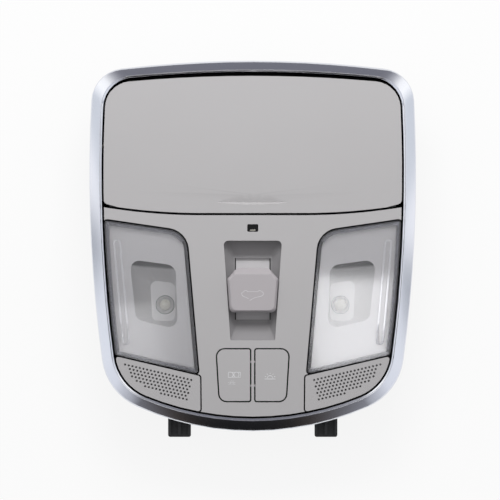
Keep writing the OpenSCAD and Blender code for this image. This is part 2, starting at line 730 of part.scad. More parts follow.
module bowl_floor_2d() {
    polygon(rounded([[led_x - 5.9, 12.6 - led_y, 3.4], [led_x + 8.6, 14.4 - led_y, 3.4],
        [led_x + 7.6, -9.2 - led_y, 3.4], [led_x - 6, -9.6 - led_y, 3.4]]));
}
module bowl(wall, z) {
    hull() {
        translate([0, 0, z]) linear_extrude(0.1) offset(delta = wall) bowl_floor_2d();
        translate([0, 0, body_h - mask_depth - mask_t - 0.1]) linear_extrude(0.2)
            offset(delta = wall) reflector_window_2d();
    }
}
module reflector() {
    color([0.85, 0.86, 0.88]) seat() difference() {
        intersection() {
            bowl(1.1, bowl_z);
            below_face(mask_depth + mask_t);
        }
        bowl(0, bowl_z + 1.1);
        translate([led_x, -led_y, 0]) cylinder(d = optic_d + 0.6, h = body_h);
    }
}
module left_reflector() {
    mirror([1, 0, 0]) reflector();
}
module right_reflector() {
    reflector();
}
module led_optic() {
    color([0.95, 0.93, 0.8]) seat() translate([led_x, -led_y, board_z + board_t]) {
        cylinder(d = optic_d, h = 2.6);
        translate([0, 0, 2.5]) intersection() {
            cylinder(d = optic_d - 1.2, h = 5);
            translate([0, 0, -2.6]) sphere(d = optic_d + 1);
        }
    }
}
module left_led_optic() {
    mirror([1, 0, 0]) led_optic();
}
module right_led_optic() {
    led_optic();
}
lamp_board_posts = [[45.5, -7.5], [78, -7.5], [43, -51], [75, -44.5]];
// The right edge of the board carries a tab for the lens switch.
tab_x = pusher[0] + 2;
tab_half = 3.7;
module lamp_board() {
    color([0.15, 0.35, 0.22]) seat() translate([0, 0, board_z]) linear_extrude(board_t) difference() {
        polygon(rounded([[42.2, -3.5, 2], [81.2, -3.5, 2], [80.2, pusher[1] + tab_half, 0.5],
            [tab_x, pusher[1] + tab_half, 0.5], [tab_x, pusher[1] - tab_half, 0.5],
            [79.7, pusher[1] - tab_half, 0.5], [77.8, -48, 2], [39.6, -54.5, 2]]));
        for (p = lamp_board_posts) translate(p) circle(d = screw_d + 0.3);
    }
}
module left_lamp_board() {
    mirror([1, 0, 0]) lamp_board();
}
module right_lamp_board() {
    lamp_board();
}
module tact_switch(w, l, stem_r) {
    translate([-w / 2, -l / 2, 0]) cube([w, l, switch_case_h]);
    cylinder(r = stem_r, h = switch_stem_h);
}
module lens_switches() {
    color([0.2, 0.2, 0.2]) seat() both_sides()
        translate([pusher[0], pusher[1], board_z + board_t]) tact_switch(3.8, 6, 1.1);
}

// Microphone grilles

row_pitch = 0.88 * hole_pitch;
module grille() {
    turn = [[cos(lens_low_slope), -sin(lens_low_slope)], [sin(lens_low_slope), cos(lens_low_slope)]];
    spots = [for (i = [0:14], j = [0:26]) let (p = grille_top
        + turn * [4.5 + (j + (i % 2) / 2) * hole_pitch, -3.4 - i * row_pitch])
        if (p[0] > grille_x + 4.2 && is_inside(opening, edge_gap + 4.2, p)) p];
    color([0.7, 0.69, 0.67]) seat() {
        plate(0, grille_t) difference() {
            grille_2d();
            for (p = spots) translate(p) circle(d = hole_d, $fn = 16);
        }
        plate(grille_t - 0.5, 3) rim_2d(1.3) grille_2d();
    }
}
module left_grille() {
    mirror([1, 0, 0]) grille();
}
module right_grille() {
    grille();
}
mic_spot = [43, -83];
module microphone() {
    color([0.12, 0.12, 0.12]) seat() difference() {
        intersection() {
            translate([mic_spot[0], mic_spot[1], face_z(mic_spot[1]) - 9]) cylinder(d = mic_d, h = 12);
            below_face(grille_t);
        }
        translate([mic_spot[0], mic_spot[1], face_z(mic_spot[1]) - 4.5]) cylinder(d = mic_d - 3, h = 12);
    }
}
module left_microphone() {
    mirror([1, 0, 0]) microphone();
}
module right_microphone() {
    microphone();
}

// Sunroof switch

well_floor_z = body_h - well_depth;
floor_half = [12.1, 8.9];
floor_y = [-4.8, -45];
slot_half = 10.4;
slot_y = [-7.2, -43];
well_rim_w = 1.3;
well_rim_z = face_z(well_low_y + well_rim_w) - panel_t - 0.2;
module well_floor_2d() {
    polygon(rounded([[-floor_half[0], floor_y[0], 1.5], [floor_half[0], floor_y[0], 1.5],
        [floor_half[1], floor_y[1], 0.8], [-floor_half[1], floor_y[1], 0.8]]));
}
module well_space() {
    hull() {
        translate([0, 0, well_rim_z]) linear_extrude(body_h + 1 - well_rim_z) well_2d();
        translate([0, 0, well_floor_z]) linear_extrude(0.1) well_floor_2d();
    }
}
module switch_well() {
    color([0.66, 0.65, 0.63]) seat() difference() {
        hull() {
            translate([0, 0, well_rim_z - 1]) linear_extrude(1) offset(delta = well_rim_w) well_2d();
            translate([0, 0, well_floor_z - well_t]) linear_extrude(0.1)
                offset(delta = well_t) well_floor_2d();
        }
        well_space();
        translate([-slot_half, slot_y[1], well_floor_z - well_t - 1])
            cube([2 * slot_half, slot_y[0] - slot_y[1], 6]);
    }
    color([0.66, 0.65, 0.63]) seat() column(well_rim_z - 0.5, panel_t) difference() {
        offset(delta = well_rim_w - 0.2) well_2d();
        offset(delta = 0.2) well_2d();
    }
}
// Corners of the knob at its widest height; the lower ones are kept inside the well's slanted walls.
module knob_2d(d) {
    polygon(rounded([[-9.1 + d / 2, -12.7 - d, 1], [9.1 - d / 2, -12.7 - d, 1], [14.9 - d, -19.2 - d / 2, 2],
        [13.5 - d, -38.8 + d, 3], [-13.5 + d, -38.8 + d, 3], [-14.9 + d, -19.2 - d / 2, 2]], 4));
}
module knob_slice(z, d) {
    translate([0, 0, z]) linear_extrude(0.1) knob_2d(d);
}
knob_top = body_h + knob_crest;
slider_low = well_floor_z - well_t - 1.8;
stem_w = 12;
stem_y = -25;
knob_low = well_floor_z + knob_press + 1.4;
module sunroof_knob() {
    color([0.77, 0.76, 0.74]) seat() {
        difference() {
            knob_body();
            rotate([90, 0, 90]) linear_extrude(body_w, center = true)
                polygon([[-16.4, knob_top + 0.01], [-13.4, knob_top - 2.6], [-10, knob_top - 5],
                    [-8, knob_top + 2]]);
        }
        translate([-stem_w / 2, stem_y - stem_w / 2, slider_low + 0.9 + knob_press])
            cube([stem_w, stem_w, knob_low - slider_low]);
    }
}
module knob_body() {
    hull() {
        knob_slice(knob_top - 0.1, 1.3);
        knob_slice(knob_top - 1.1, 0.35);
        knob_slice(knob_top - 2.3, 0);
        knob_slice(body_h - 0.6, 0.1);
        knob_slice(knob_low, 4.2);
    }
}
module knob_slider() {
    color([0.5, 0.5, 0.5]) seat() difference() {
        union() {
            translate([-slot_half + 0.6, slot_y[1] - knob_travel - 1, slider_low])
                cube([2 * slot_half - 1.2, slot_y[0] - slot_y[1] + 2 * knob_travel + 2, 1.5]);
            translate([-slot_half + 1.4, slot_y[1] + 1 + knob_travel, slider_low])
                cube([2 * slot_half - 2.8, 21, well_t + 1.2]);
        }
        translate([-stem_w / 2 - 0.3, stem_y - stem_w / 2 - 0.3, slider_low + 0.6])
            cube([stem_w + 0.6, stem_w + 0.6, 5]);
    }
}
module sunroof_switch() {
    color([0.14, 0.14, 0.15]) seat()
        translate([-12, -46, board_z + board_t])
            cube([24, 40, well_floor_z - well_t - 2.1 - board_z - board_t]);
}

// Push buttons

button_mid = [(button_in + button_half) / 2, -(button_top_y + button_low_y) / 2];
module button() {
    color([0.74, 0.73, 0.71]) seat() {
        plate(-0.4, button_t + 0.4) button_2d();
        plate(button_t - 0.5, 5.5) rim_2d(button_t) button_2d();
        intersection() {
            translate([button_mid[0], button_mid[1], switch_top + button_press + 0.2])
                cylinder(r = 2, h = body_h);
            below_face(button_t - 0.5);
        }
    }
}
module left_button() {
    mirror([1, 0, 0]) button();
}
module right_button() {
    button();
}
module button_switches() {
    color([0.2, 0.2, 0.2]) seat() both_sides()
        translate([button_mid[0], button_mid[1], board_z + board_t]) tact_switch(6, 6, 1.6);
}

// Boards and connector

board_posts = [[-26, -20], [26, -20], [-26, -60], [26, -60]];
panel_posts = [[-24, 1], [24, 1], [-24, -92.4], [24, -92.4]];
module main_board() {
    color([0.15, 0.35, 0.22]) seat() translate([0, 0, board_z]) linear_extrude(board_t) difference() {
        polygon(rounded([[-29, 4, 2], [29, 4, 2], [29, -95, 2], [-29, -95, 2]]));
        for (p = board_posts) translate(p) circle(d = screw_d + 0.3);
        for (p = panel_posts) translate(p) circle(r = panel_post_r + 0.4);
    }
}
screw_reach = board_t + 3;
module board_screws() {
    color([0.6, 0.6, 0.62]) seat() translate([0, 0, board_z + board_t]) {
        for (p = board_posts) translate(p) screw(screw_reach);
        both_sides() for (p = lamp_board_posts) translate(p) screw(screw_reach);
    }
}
connector_y = -82;
connector_z = 8;
connector_w = 28;
connector_l = 12;
connector_t = 1.4;
socket_top = 18;
pin_w = 0.6;
pin_l = 5.5;
module main_connector() {
    color([0.88, 0.88, 0.84]) seat() difference() {
        translate([-connector_w / 2, connector_y - connector_l / 2, connector_z])
            cube([connector_w, connector_l, board_z - connector_z]);
        translate([-connector_w / 2 + connector_t, connector_y - connector_l / 2 + connector_t, 0])
            cube([connector_w - 2 * connector_t, connector_l - 2 * connector_t, socket_top]);
    }
}
module connector_pins() {
    color([0.8, 0.65, 0.3]) seat() for (x = [-9:3:9], y = [-2, 2])
        translate([x - pin_w / 2, connector_y + y - pin_w / 2, socket_top - pin_l])
            cube([pin_w, pin_w, pin_l]);
}

// Rear housing

module bin_zone(r) {
    translate([0, hinge_y, hinge_z]) rotate([0, 90, 0])
        cylinder(r = r, h = body_w, center = true, $fn = 180);
    translate([-body_w / 2, hinge_y, -body_h]) cube([body_w, body_l, 3 * body_h]);
}
front_wall_r = bin_r + housing_t - 0.3;
lip_play = 0.06;
module rear_housing() {
    floor_drop = hinge_z - lamp_floor_z;
    lamp_edge = hinge_y - sqrt(front_wall_r * front_wall_r - floor_drop * floor_drop);
    color([0.1, 0.1, 0.11]) seat() difference() {
        union() {
            column(lamp_floor_z, lip_depth + lip_play) wall_2d();
            intersection() {
                linear_extrude(lamp_floor_z + 1) wall_2d();
                bin_zone(front_wall_r);
            }
            intersection() {
                linear_extrude(floor_t) polygon(outline(shell_edge, -housing_t));
                bin_zone(front_wall_r);
            }
            translate([0, 0, lamp_floor_z]) linear_extrude(floor_t) intersection() {
                polygon(outline(shell_edge, -housing_t));
                translate([-body_w, -body_l]) square([2 * body_w, body_l + lamp_edge + 1]);
            }
            front_wall();
            both_sides() hinge_boss();
            both_sides() bumper_shelf();
            damper_pad();
            posts();
            both_sides() tower();
            both_sides() hook();
            ribs();
        }
        hinge_bore(hinge_pin_d + 2 * hinge_play);
        both_sides() translate([screw_spacing / 2, screw_y, -1]) cylinder(d = screw_hole_d, h = floor_t + 2);
        both_sides() translate([tower_x, -tower_y, -1]) cylinder(d = tower_bore_d, h = lamp_floor_z - 1);
        translate([-body_w / 2, damper_spot[0], damper_spot[1]]) rotate([0, 90, 0])
            cylinder(r = damper_axle_r + 0.4, h = 20);
        translate([-connector_w / 2 - 0.4, connector_y - connector_l / 2 - 0.4, lamp_floor_z - 1])
            cube([connector_w + 0.8, connector_l + 0.8, floor_t + 2]);
        translate([-latch_w / 2 - 0.4, hinge_y - front_wall_r - 3, latch_z + 2.6 - latch_h])
            cube([latch_w + 0.8, 9, latch_h + 0.8]);
    }
}
module wall_2d() {
    difference() {
        polygon(outline(shell_edge, -housing_t));
        polygon(outline(shell_edge));
    }
}
module front_wall() {
    intersection() {
        difference() {
            bin_zone(front_wall_r);
            translate([0, hinge_y, hinge_z]) rotate([0, 90, 0])
                cylinder(r = bin_r, h = body_w + 1, center = true, $fn = 180);
        }
        translate([0, 0, 0.5]) column(0, lip_depth + lip_play + 0.5) intersection() {
            polygon(outline(shell_edge, -0.5));
            translate([-body_w, -body_l]) square([2 * body_w, body_l + hinge_y - 30]);
        }
    }
}
module hinge_boss() {
    wall_x = side_x(opening, hinge_y);
    translate([tray_half_w + 0.5, hinge_y, hinge_z]) rotate([0, 90, 0])
        cylinder(r = 3.9, h = wall_x + 1 - tray_half_w - 0.5);
}
module damper_pad() {
    translate([-damper_wall_x, damper_spot[0] - 14, damper_spot[1] - 9])
        cube([housing_t, 28, min(18, headliner_z - damper_spot[1] + 9)]);
}
module bumper_shelf() {
    wall_x = side_x(opening, bumper_y);
    plate(door_t + 1.5, 3) translate([wall_x - 2.8, bumper_y - 6]) square([3.8, 12]);
}
post_r = 2.6;
panel_post_r = 3;
grille_posts = [grille_top + [2.6, -2.4], grille_end + [2.6, 4.5], grille_top_out - [6.5, 4.9]];
module posts() {
    floor_z = lamp_floor_z + floor_t - 0.5;
    for (p = board_posts) translate([p[0], p[1], floor_z]) post(board_z - floor_z);
    both_sides() for (p = lamp_board_posts) translate([p[0], p[1], floor_z]) post(board_z - floor_z);
    for (p = panel_posts) column(floor_z, panel_t) translate(p) circle(r = panel_post_r);
    both_sides() for (p = grille_posts) column(floor_z, grille_t + 2.5) translate(p) circle(r = 2.4);
}
module post(h) {
    depth = screw_reach - board_t + 0.2;
    difference() {
        cylinder(r = post_r, h = h);
        translate([0, 0, h - depth]) cylinder(d = screw_d, h = depth + 1);
    }
}
module tower() {
    translate([tower_x, -tower_y, 0]) {
        cylinder(r = 6, h = lamp_floor_z + 1);
        for (a = [0, 180, 270]) rotate(a) translate([0, -0.8, 2]) cube([10, 1.6, lamp_floor_z - 1]);
    }
}
module hook() {
    start = -body_l / 2 + bezel_end_w + 8;
    translate([hook_x, 0, 0]) {
        translate([0, 0, 22]) linear_extrude(8) hook_2d(start);
        for (x = [-hook_w / 2, -0.8, hook_w / 2 - 1.6])
            translate([x, -hook_reach + 1.2, 29]) cube([1.6, hook_reach + start - 2.5, 4]);
    }
}
module hook_2d(start) {
    polygon(rounded([[-hook_w / 2, start, 0.5], [hook_w / 2, start, 0.5], [hook_w / 2, -hook_reach, 1.2],
        [-hook_w / 2, -hook_reach, 1.2]]));
}
module ribs() {
    for (x = [-40, 0, 40]) translate([x - 0.8, -72, lamp_floor_z - 4]) cube([1.6, 80, 5]);
    for (y = [-50, -20]) translate([-78, y, lamp_floor_z - 4]) cube([156, 1.6, 5]);
}

// Spring clips

module spring_clips() {
    color([0.7, 0.7, 0.72]) seat() both_sides() translate([tower_x, -tower_y, 0])
        rotate([90, 0, 90]) linear_extrude(6, center = true)
            polygon([[6.1, 15.5], [10.4, 11], [6.9, 4], [6.9, 2.5], [6.1, 2.5], [6.1, 4.2], [9.4, 11],
                [6.1, 14.4]]);
}

bezel_ring();
face_panel();
sensor_window();
sensor_module();
door_panel();
glasses_tray();
tray_lining();
tray_screws();
latch_striker();
latch_body();
hinge_pins();
door_bumpers();
damper_body();
damper_pinion();
left_lens();
right_lens();
left_lamp_mask();
right_lamp_mask();
left_reflector();
right_reflector();
left_led_optic();
right_led_optic();
left_lamp_board();
right_lamp_board();
lens_switches();
left_grille();
right_grille();
left_microphone();
right_microphone();
switch_well();
sunroof_knob();
knob_slider();
sunroof_switch();
left_button();
right_button();
button_switches();
main_board();
board_screws();
main_connector();
connector_pins();
rear_housing();
spring_clips();
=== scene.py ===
# %% [markdown]
# # An overhead console
# The object is the console over a car's front seats. It has a sunglasses door, two map lamps under clear
# lenses, microphone grilles, a sunroof knob in a well, and two push buttons, all inside a ring with satin
# plating. Its shape and its moving parts come from the CAD frame. This script gives every surface its
# finish, rounds the edges that the CAD leaves sharp, adds the small signs, the lens ribs and the light
# sources, and lights the console from above.
#
# The first cell loads the frame, and reads the bounds of a node for the cells that need them.

# %% The frame
import math
import bmesh
import bpy
from mathutils import Matrix, Vector


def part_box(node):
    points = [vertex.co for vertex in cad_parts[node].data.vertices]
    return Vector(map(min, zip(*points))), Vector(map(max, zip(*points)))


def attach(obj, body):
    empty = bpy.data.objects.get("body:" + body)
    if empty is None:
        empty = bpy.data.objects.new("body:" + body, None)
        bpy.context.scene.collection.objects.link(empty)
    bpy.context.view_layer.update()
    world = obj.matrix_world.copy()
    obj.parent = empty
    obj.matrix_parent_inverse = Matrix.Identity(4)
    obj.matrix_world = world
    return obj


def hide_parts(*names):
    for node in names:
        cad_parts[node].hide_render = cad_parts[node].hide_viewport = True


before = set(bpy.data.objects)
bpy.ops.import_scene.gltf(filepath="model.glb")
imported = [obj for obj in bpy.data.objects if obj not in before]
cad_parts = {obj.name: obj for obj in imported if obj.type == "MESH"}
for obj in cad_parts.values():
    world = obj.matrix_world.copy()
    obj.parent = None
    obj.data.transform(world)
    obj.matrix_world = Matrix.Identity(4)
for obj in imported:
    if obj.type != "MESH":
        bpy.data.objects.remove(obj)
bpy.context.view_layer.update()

MM = 0.001
SEAT = 1.75 * MM     # from the frame's origin to the middle of the bezel, along the console
FACE_Z = 50 * MM     # height of the middle of the face
CROWN_R = 1500 * MM  # radius of the face's crown from top to bottom


def face_z(y):
    """Height of the crowned face at a place along the console."""
    return FACE_Z - CROWN_R + math.sqrt(CROWN_R ** 2 - (y - SEAT) ** 2)


def add_object(name, data):
    made = bpy.data.objects.new(name, data)
    bpy.context.scene.collection.objects.link(made)
    return made


# %% [markdown]
# ## Shader maths
# A finish is a small sum: a base colour plus a little noise, a height that drives the bump. Wiring each
# Math node by hand hides that sum, so one class wraps a socket and overloads the operators. An expression
# such as `0.5 + 0.1 * noise` then adds the nodes. Colours don't go through Math nodes, which would turn
# them grey: they are mixed by `blend_colours`.

# %% Shader maths
class Signal:
    """A socket of a material, on which Python's operators add Math nodes."""

    def __init__(self, finish, socket):
        self.finish, self.socket = finish, socket

    def math(self, operation, *values, clamp=False):
        return self.finish.value("ShaderNodeMath", {"operation": operation, "use_clamp": clamp},
                                 dict(enumerate(values)))

    def __add__(self, other): return self.math("ADD", self, other)
    def __radd__(self, other): return self.math("ADD", other, self)
    def __sub__(self, other): return self.math("SUBTRACT", self, other)
    def __rsub__(self, other): return self.math("SUBTRACT", other, self)
    def __mul__(self, other): return self.math("MULTIPLY", self, other)
    def __rmul__(self, other): return self.math("MULTIPLY", other, self)
    def within(self): return self.math("ADD", self, 0.0, clamp=True)
    def sine(self): return self.math("SINE", self)
    def without_sign(self): return self.math("ABSOLUTE", self)

    def ramp(self, low, high):
        """0 where the signal is at low, 1 where it is at high, smooth between."""
        return self.finish.value("ShaderNodeMapRange", {"interpolation_type": "SMOOTHSTEP"},
                                 {"Value": self, "From Min": low, "From Max": high})

    def colours(self, stops):
        """The colour that a ramp has at the signal. Stops are pairs of a place and a colour."""
        return self.finish.value("ShaderNodeValToRGB", {"stops": stops}, {"Fac": self})


class Finish:
    """A material or the world, built one node at a time."""

    def __init__(self, name, owner=None):
        self.material = owner or bpy.data.materials.new(name)
        self.material.use_nodes = True
        self.tree = self.material.node_tree
        self.tree.nodes.clear()

    def node(self, kind, settings=None, inputs=None):
        made = self.tree.nodes.new(kind)
        for key, value in (settings or {}).items():
            if key == "stops":
                self.set_stops(made.color_ramp, value)
            else:
                setattr(made, key, value)
        for key, value in (inputs or {}).items():
            socket = made.inputs[key]
            if isinstance(value, Signal):
                self.tree.links.new(value.socket, socket)
            else:
                socket.default_value = value
        return made

    @staticmethod
    def set_stops(ramp, stops):
        first, last = ramp.elements[0], ramp.elements[-1]
        first.position, last.position = stops[0][0], stops[-1][0]
        first.color, last.color = (*stops[0][1], 1), (*stops[-1][1], 1)
        for place, colour in stops[1:-1]:
            ramp.elements.new(place).color = (*colour, 1)

    def value(self, kind, settings=None, inputs=None, output=0):
        return Signal(self, self.node(kind, settings, inputs).outputs[output])

    def place(self):
        """Object coordinates, in metres."""
        return self.value("ShaderNodeTexCoord", output="Object")

    def noise(self, size_mm, detail=2.0, rough=0.5):
        """Noise from 0 to 1 whose blots are about size_mm across."""
        return self.value("ShaderNodeTexNoise", None, {
            "Vector": self.place(), "Scale": 1 / (size_mm * MM), "Detail": detail, "Roughness": rough})

    def axis(self, letter):
        return self.value("ShaderNodeSeparateXYZ", None, {"Vector": self.place()}, letter)

    def blend_colours(self, share, first, second):
        mix = self.node("ShaderNodeMix", {"data_type": "RGBA"})
        for key, value in {0: share, 6: first, 7: second}.items():
            if isinstance(value, Signal):
                self.tree.links.new(value.socket, mix.inputs[key])
            else:
                mix.inputs[key].default_value = value if key == 0 else (*value, 1)
        return Signal(self, mix.outputs[2])

    def bump(self, height, depth_mm):
        return self.value("ShaderNodeBump", None, {"Height": height, "Distance": depth_mm * MM}, "Normal")

    def surface(self, **sockets):
        """A Principled surface. Sockets are named with underscores for spaces."""
        inputs = {key.replace("_", " "): value for key, value in sockets.items()}
        if not isinstance(inputs["Base Color"], Signal):
            inputs["Base Color"] = (*inputs["Base Color"], 1)
        return self.value("ShaderNodeBsdfPrincipled", None, inputs)

    def done(self, shader):
        self.node("ShaderNodeOutputMaterial", None, {"Surface": shader})
        return self.material


def srgb(*levels):
    """Linear colour for sRGB levels from 0 to 255."""
    return tuple(((v / 255 + 0.055) / 1.055) ** 2.4 if v > 10 else v / 255 / 12.92 for v in levels)


print("a mid grey of 187 is", [round(v, 3) for v in srgb(187, 187, 187)])

# %% [markdown]
# ## Moulded plastic
# The face, the door and the buttons are moulded in one warm light grey. Such a part has a spark-eroded
# grain of a few tenths of a millimetre, which makes it matt, and a slight cloudiness in its tone. Fine
# noise drives the bump and the roughness, and wide noise shifts the tone by a few parts in a hundred.

# %% Moulded plastic
CLOUD_MM = 38


def moulded(name, colour, roughness=0.56, grain_mm=0.35, grain_depth_mm=0.012):
    f = Finish(name)
    grain = f.noise(grain_mm, detail=3)
    cloud_share = 0.25 * (f.noise(CLOUD_MM) - 0.5) + 0.5 + 0.4 * (grain - 0.5)
    return f.done(f.surface(
        Base_Color=f.blend_colours(cloud_share, [c * 0.94 for c in colour], [c * 1.06 for c in colour]),
        Roughness=roughness + 0.12 * (grain - 0.5),
        Normal=f.bump(grain, grain_depth_mm)))


face_grey = moulded("face_grey", srgb(189, 187, 188))
knob_grey = moulded("knob_grey", srgb(184, 179, 182), roughness=0.5, grain_mm=0.25, grain_depth_mm=0.006)
# The well is darker than the face: painted shade of the recess.
well_grey_painted_shade = moulded("well_grey_painted_shade", srgb(150, 148, 150))
slider_grey = moulded("slider_grey", srgb(212, 210, 212), roughness=0.45)
black_housing = moulded("black_housing", srgb(38, 38, 40), roughness=0.5, grain_mm=0.5, grain_depth_mm=0.02)
black_small = moulded("black_small", srgb(42, 42, 44), roughness=0.42, grain_mm=0.3, grain_depth_mm=0.008)
tray_black = moulded("tray_black", srgb(58, 58, 60), roughness=0.6, grain_mm=0.4, grain_depth_mm=0.02)
natural_white = moulded("natural_white", srgb(222, 220, 208), roughness=0.35, grain_mm=0.6,
                        grain_depth_mm=0.004)
soft_rubber = moulded("soft_rubber", srgb(34, 34, 35), roughness=0.8, grain_mm=0.2, grain_depth_mm=0.01)
print("moulded finishes:", len(bpy.data.materials))

# %% [markdown]
# ## Satin plating
# The ring is plastic plated with satin chrome. It mirrors the room, softened, so its look comes from the
# lamps: pale at the sides, grey at the top, nearly black at the bottom. The material is full metal with a
# faint blue tone, and a very fine noise varies its roughness as the satin etch does.

# %% Satin plating and plain metals
ETCH_DEPTH_MM = 0.0005


def plated(name, colour, roughness, grain_mm=0.2):
    f = Finish(name)
    etch = f.noise(grain_mm, detail=4)
    hand = f.noise(14, detail=1)
    return f.done(f.surface(
        Base_Color=f.blend_colours(hand, [c * 0.97 for c in colour], colour),
        Metallic=1.0,
        Roughness=roughness + 0.04 * (etch - 0.5) + 0.02 * hand,
        Normal=f.bump(etch, ETCH_DEPTH_MM)))


satin_ring = plated("satin_ring", srgb(229, 231, 237), 0.13)
bright_steel = plated("bright_steel", srgb(200, 200, 203), 0.28, grain_mm=0.5)
pin_metal = plated("pin_metal", srgb(214, 188, 120), 0.25)

# %% [markdown]
# ## Silver mask and reflector
# Under each lens lies a mask painted silver. Silver paint is between a metal and a plastic: flakes mirror
# the room in a wide, soft lobe. A surface that is a third metallic, with a broad roughness and a speck of
# flake noise, shows that. The reflector round the light source is paler. Its upper end has a wall that
# falls steeply, and a painted reflection of the dark housing above it makes that wall dark.

# %% Silver mask and reflector
def silver_paint(name, colour):
    f = Finish(name)
    flake = f.noise(0.18, detail=2)
    return f.done(f.surface(
        Base_Color=f.blend_colours(flake, [c * 0.93 for c in colour], colour),
        Metallic=0.35, Roughness=0.38 + 0.1 * (flake - 0.5), Normal=f.bump(flake, 0.002)))


# where the painted dark reflection begins on the reflector's upper wall, a stand-in for the dark housing
# above it
PAINTED_DARK_FROM, PAINTED_DARK_TO = -16.2 * MM, -14.4 * MM  # along the console, where the dark upper wall begins
PAINTED_DARK_SLANT = 0.08  # how far that line rises for each step away from the middle


def bowl_with_painted_reflection(name, pale, dark):
    f = Finish(name)
    grain = f.noise(0.8, detail=2)
    # painted reflection: the bowl's upper end is painted dark, as if it mirrored the dark housing above it
    painted_dark_reflection = (f.axis("Y") - PAINTED_DARK_SLANT * f.axis("X").without_sign()).ramp(PAINTED_DARK_FROM, PAINTED_DARK_TO)
    return f.done(f.surface(
        Base_Color=f.blend_colours((painted_dark_reflection + 0.06 * (grain - 0.5)).within(), pale, dark),
        Metallic=0.25, Roughness=0.34 + 0.08 * (grain - 0.5), Normal=f.bump(grain, 0.002)))


silver_mask = silver_paint("silver_mask", srgb(244, 242, 244))
# the reflector: pale, with a painted dark reflection on its upper end
bowl_painted_reflection = bowl_with_painted_reflection("bowl_painted_reflection", srgb(232, 231, 232), srgb(66, 65, 68))

# %% [markdown]
# ## Clear and dark plastic
# The lenses are clear, so what lies beneath shows through them. Refraction through a thin, nearly flat
# plate hardly shifts what is seen, so the lens is drawn as a see-through surface that carries a mirror
# film. The alpha also scales the reflections, so the film's Fresnel share is added to it, and the film is
# pale metal. The Fresnel node acts on the inner faces too, which makes the film stronger than a real one
# where it is seen at a slant. At its rim a real lens looks frosted, because the eye looks along the
# moulded wall there, so the rim has a finish of its own that hides more: a painted haze. The ribs and the
# ridges get finishes that are paler and hide more than the plate: painted glints, where real clear plastic
# refracts and sparkles.

# %% Clear and dark plastic
PLASTIC_IOR = 1.58


def clear_plastic(name, tint, opacity, roughness=0.05, mirror=0.0):
    """Opacity is what the plastic hides, and mirror is the strength of the mirror film on it."""
    f = Finish(name)
    ripple = f.noise(3.5, detail=1)
    gloss = f.value("ShaderNodeFresnel", inputs={"IOR": PLASTIC_IOR})
    return f.done(f.surface(
        Base_Color=tint, Metallic=mirror, Roughness=roughness + 0.02 * ripple,
        Alpha=(gloss * mirror + opacity + 0.01 * (ripple - 0.5)).within(),
        IOR=PLASTIC_IOR, Normal=f.bump(ripple, 0.0015)))


lens_clear = clear_plastic("lens_clear", srgb(250, 250, 252), 0.04, mirror=1.0)
# The rim's finish is a painted haze, and the finishes of the ribs and the ridges are painted glints: paler
# and less clear than the lens.
lens_rim = clear_plastic("lens_rim", srgb(186, 185, 193), 0.34, roughness=0.25)
rib_painted_sparkle = clear_plastic("rib_painted_sparkle", srgb(236, 236, 242), 0.62, roughness=0.10, mirror=0.7)
ridge_painted_glint = clear_plastic("ridge_painted_glint", srgb(240, 240, 244), 0.30, roughness=0.06, mirror=0.8)
optic_clear = clear_plastic("optic_clear", srgb(228, 228, 230), 0.80, roughness=0.15)
source_clear = clear_plastic("source_clear", srgb(253, 251, 238), 0.97, roughness=0.10)


def dark_window(name):
    f = Finish(name)
    haze = f.noise(1.2)
    return f.done(f.surface(Base_Color=f.blend_colours(haze, srgb(12, 12, 13), srgb(20, 20, 21)),
                            Roughness=0.10 + 0.06 * haze, IOR=1.3))


sensor_black = dark_window("sensor_black")
print("finishes so far:", len(bpy.data.materials))

# %% [markdown]
# ## Circuit board and felt
# The boards have green solder mask with copper tracks just showing as a lighter weave. The tray is lined
# with black flock, a dense pile of tiny fibres: strong fine bump and a soft sheen at grazing light.

# %% Circuit board and felt
def solder_mask(name):
    f = Finish(name)
    copper = ((f.axis("X") * 1200).sine() * (f.axis("Y") * 900).sine()).ramp(0.35, 0.5)
    return f.done(f.surface(Base_Color=f.blend_colours(copper, srgb(30, 78, 48), srgb(58, 110, 66)),
                            Roughness=0.35 + 0.1 * copper, Normal=f.bump(copper, 0.03)))


def flock(name, colour):
    f = Finish(name)
    pile = f.noise(0.3, detail=5, rough=0.7)
    return f.done(f.surface(
        Base_Color=f.blend_colours(pile, [c * 0.6 for c in colour], [c * 1.5 for c in colour]),
        Roughness=0.85 + 0.1 * (pile - 0.5), Sheen_Weight=0.4, Normal=f.bump(pile, 0.12)))


green_board = solder_mask("green_board")
black_flock = flock("black_flock", srgb(40, 40, 42))

# %% [markdown]
# ## Finishing the CAD nodes
# The nodes that show little of their edges keep their CAD mesh and only get their finish. One table says
# which nodes have which finish.

# %% Finishing the CAD nodes
FINISHES = {
    black_housing: ["rear_housing"],
    black_small: ["sensor_module", "latch_body", "damper_body", "lens_switches", "button_switches",
                  "sunroof_switch"],
    tray_black: ["glasses_tray", "latch_striker"],
    black_flock: ["tray_lining"],
    bright_steel: ["tray_screws", "hinge_pins", "board_screws", "spring_clips"],
    natural_white: ["damper_pinion", "main_connector"],
    soft_rubber: ["door_bumpers", "left_microphone", "right_microphone"],
    silver_mask: ["left_lamp_mask", "right_lamp_mask"],
    bowl_painted_reflection: ["left_reflector", "right_reflector"],
    green_board: ["left_lamp_board", "right_lamp_board", "main_board"],
    pin_metal: ["connector_pins"],
    sensor_black: ["sensor_window"],
    slider_grey: ["knob_slider"],
}
for finish, names in FINISHES.items():
    for name in names:
        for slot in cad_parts[name].material_slots:
            slot.material = finish
print("finished nodes:", sum(len(n) for n in FINISHES.values()))

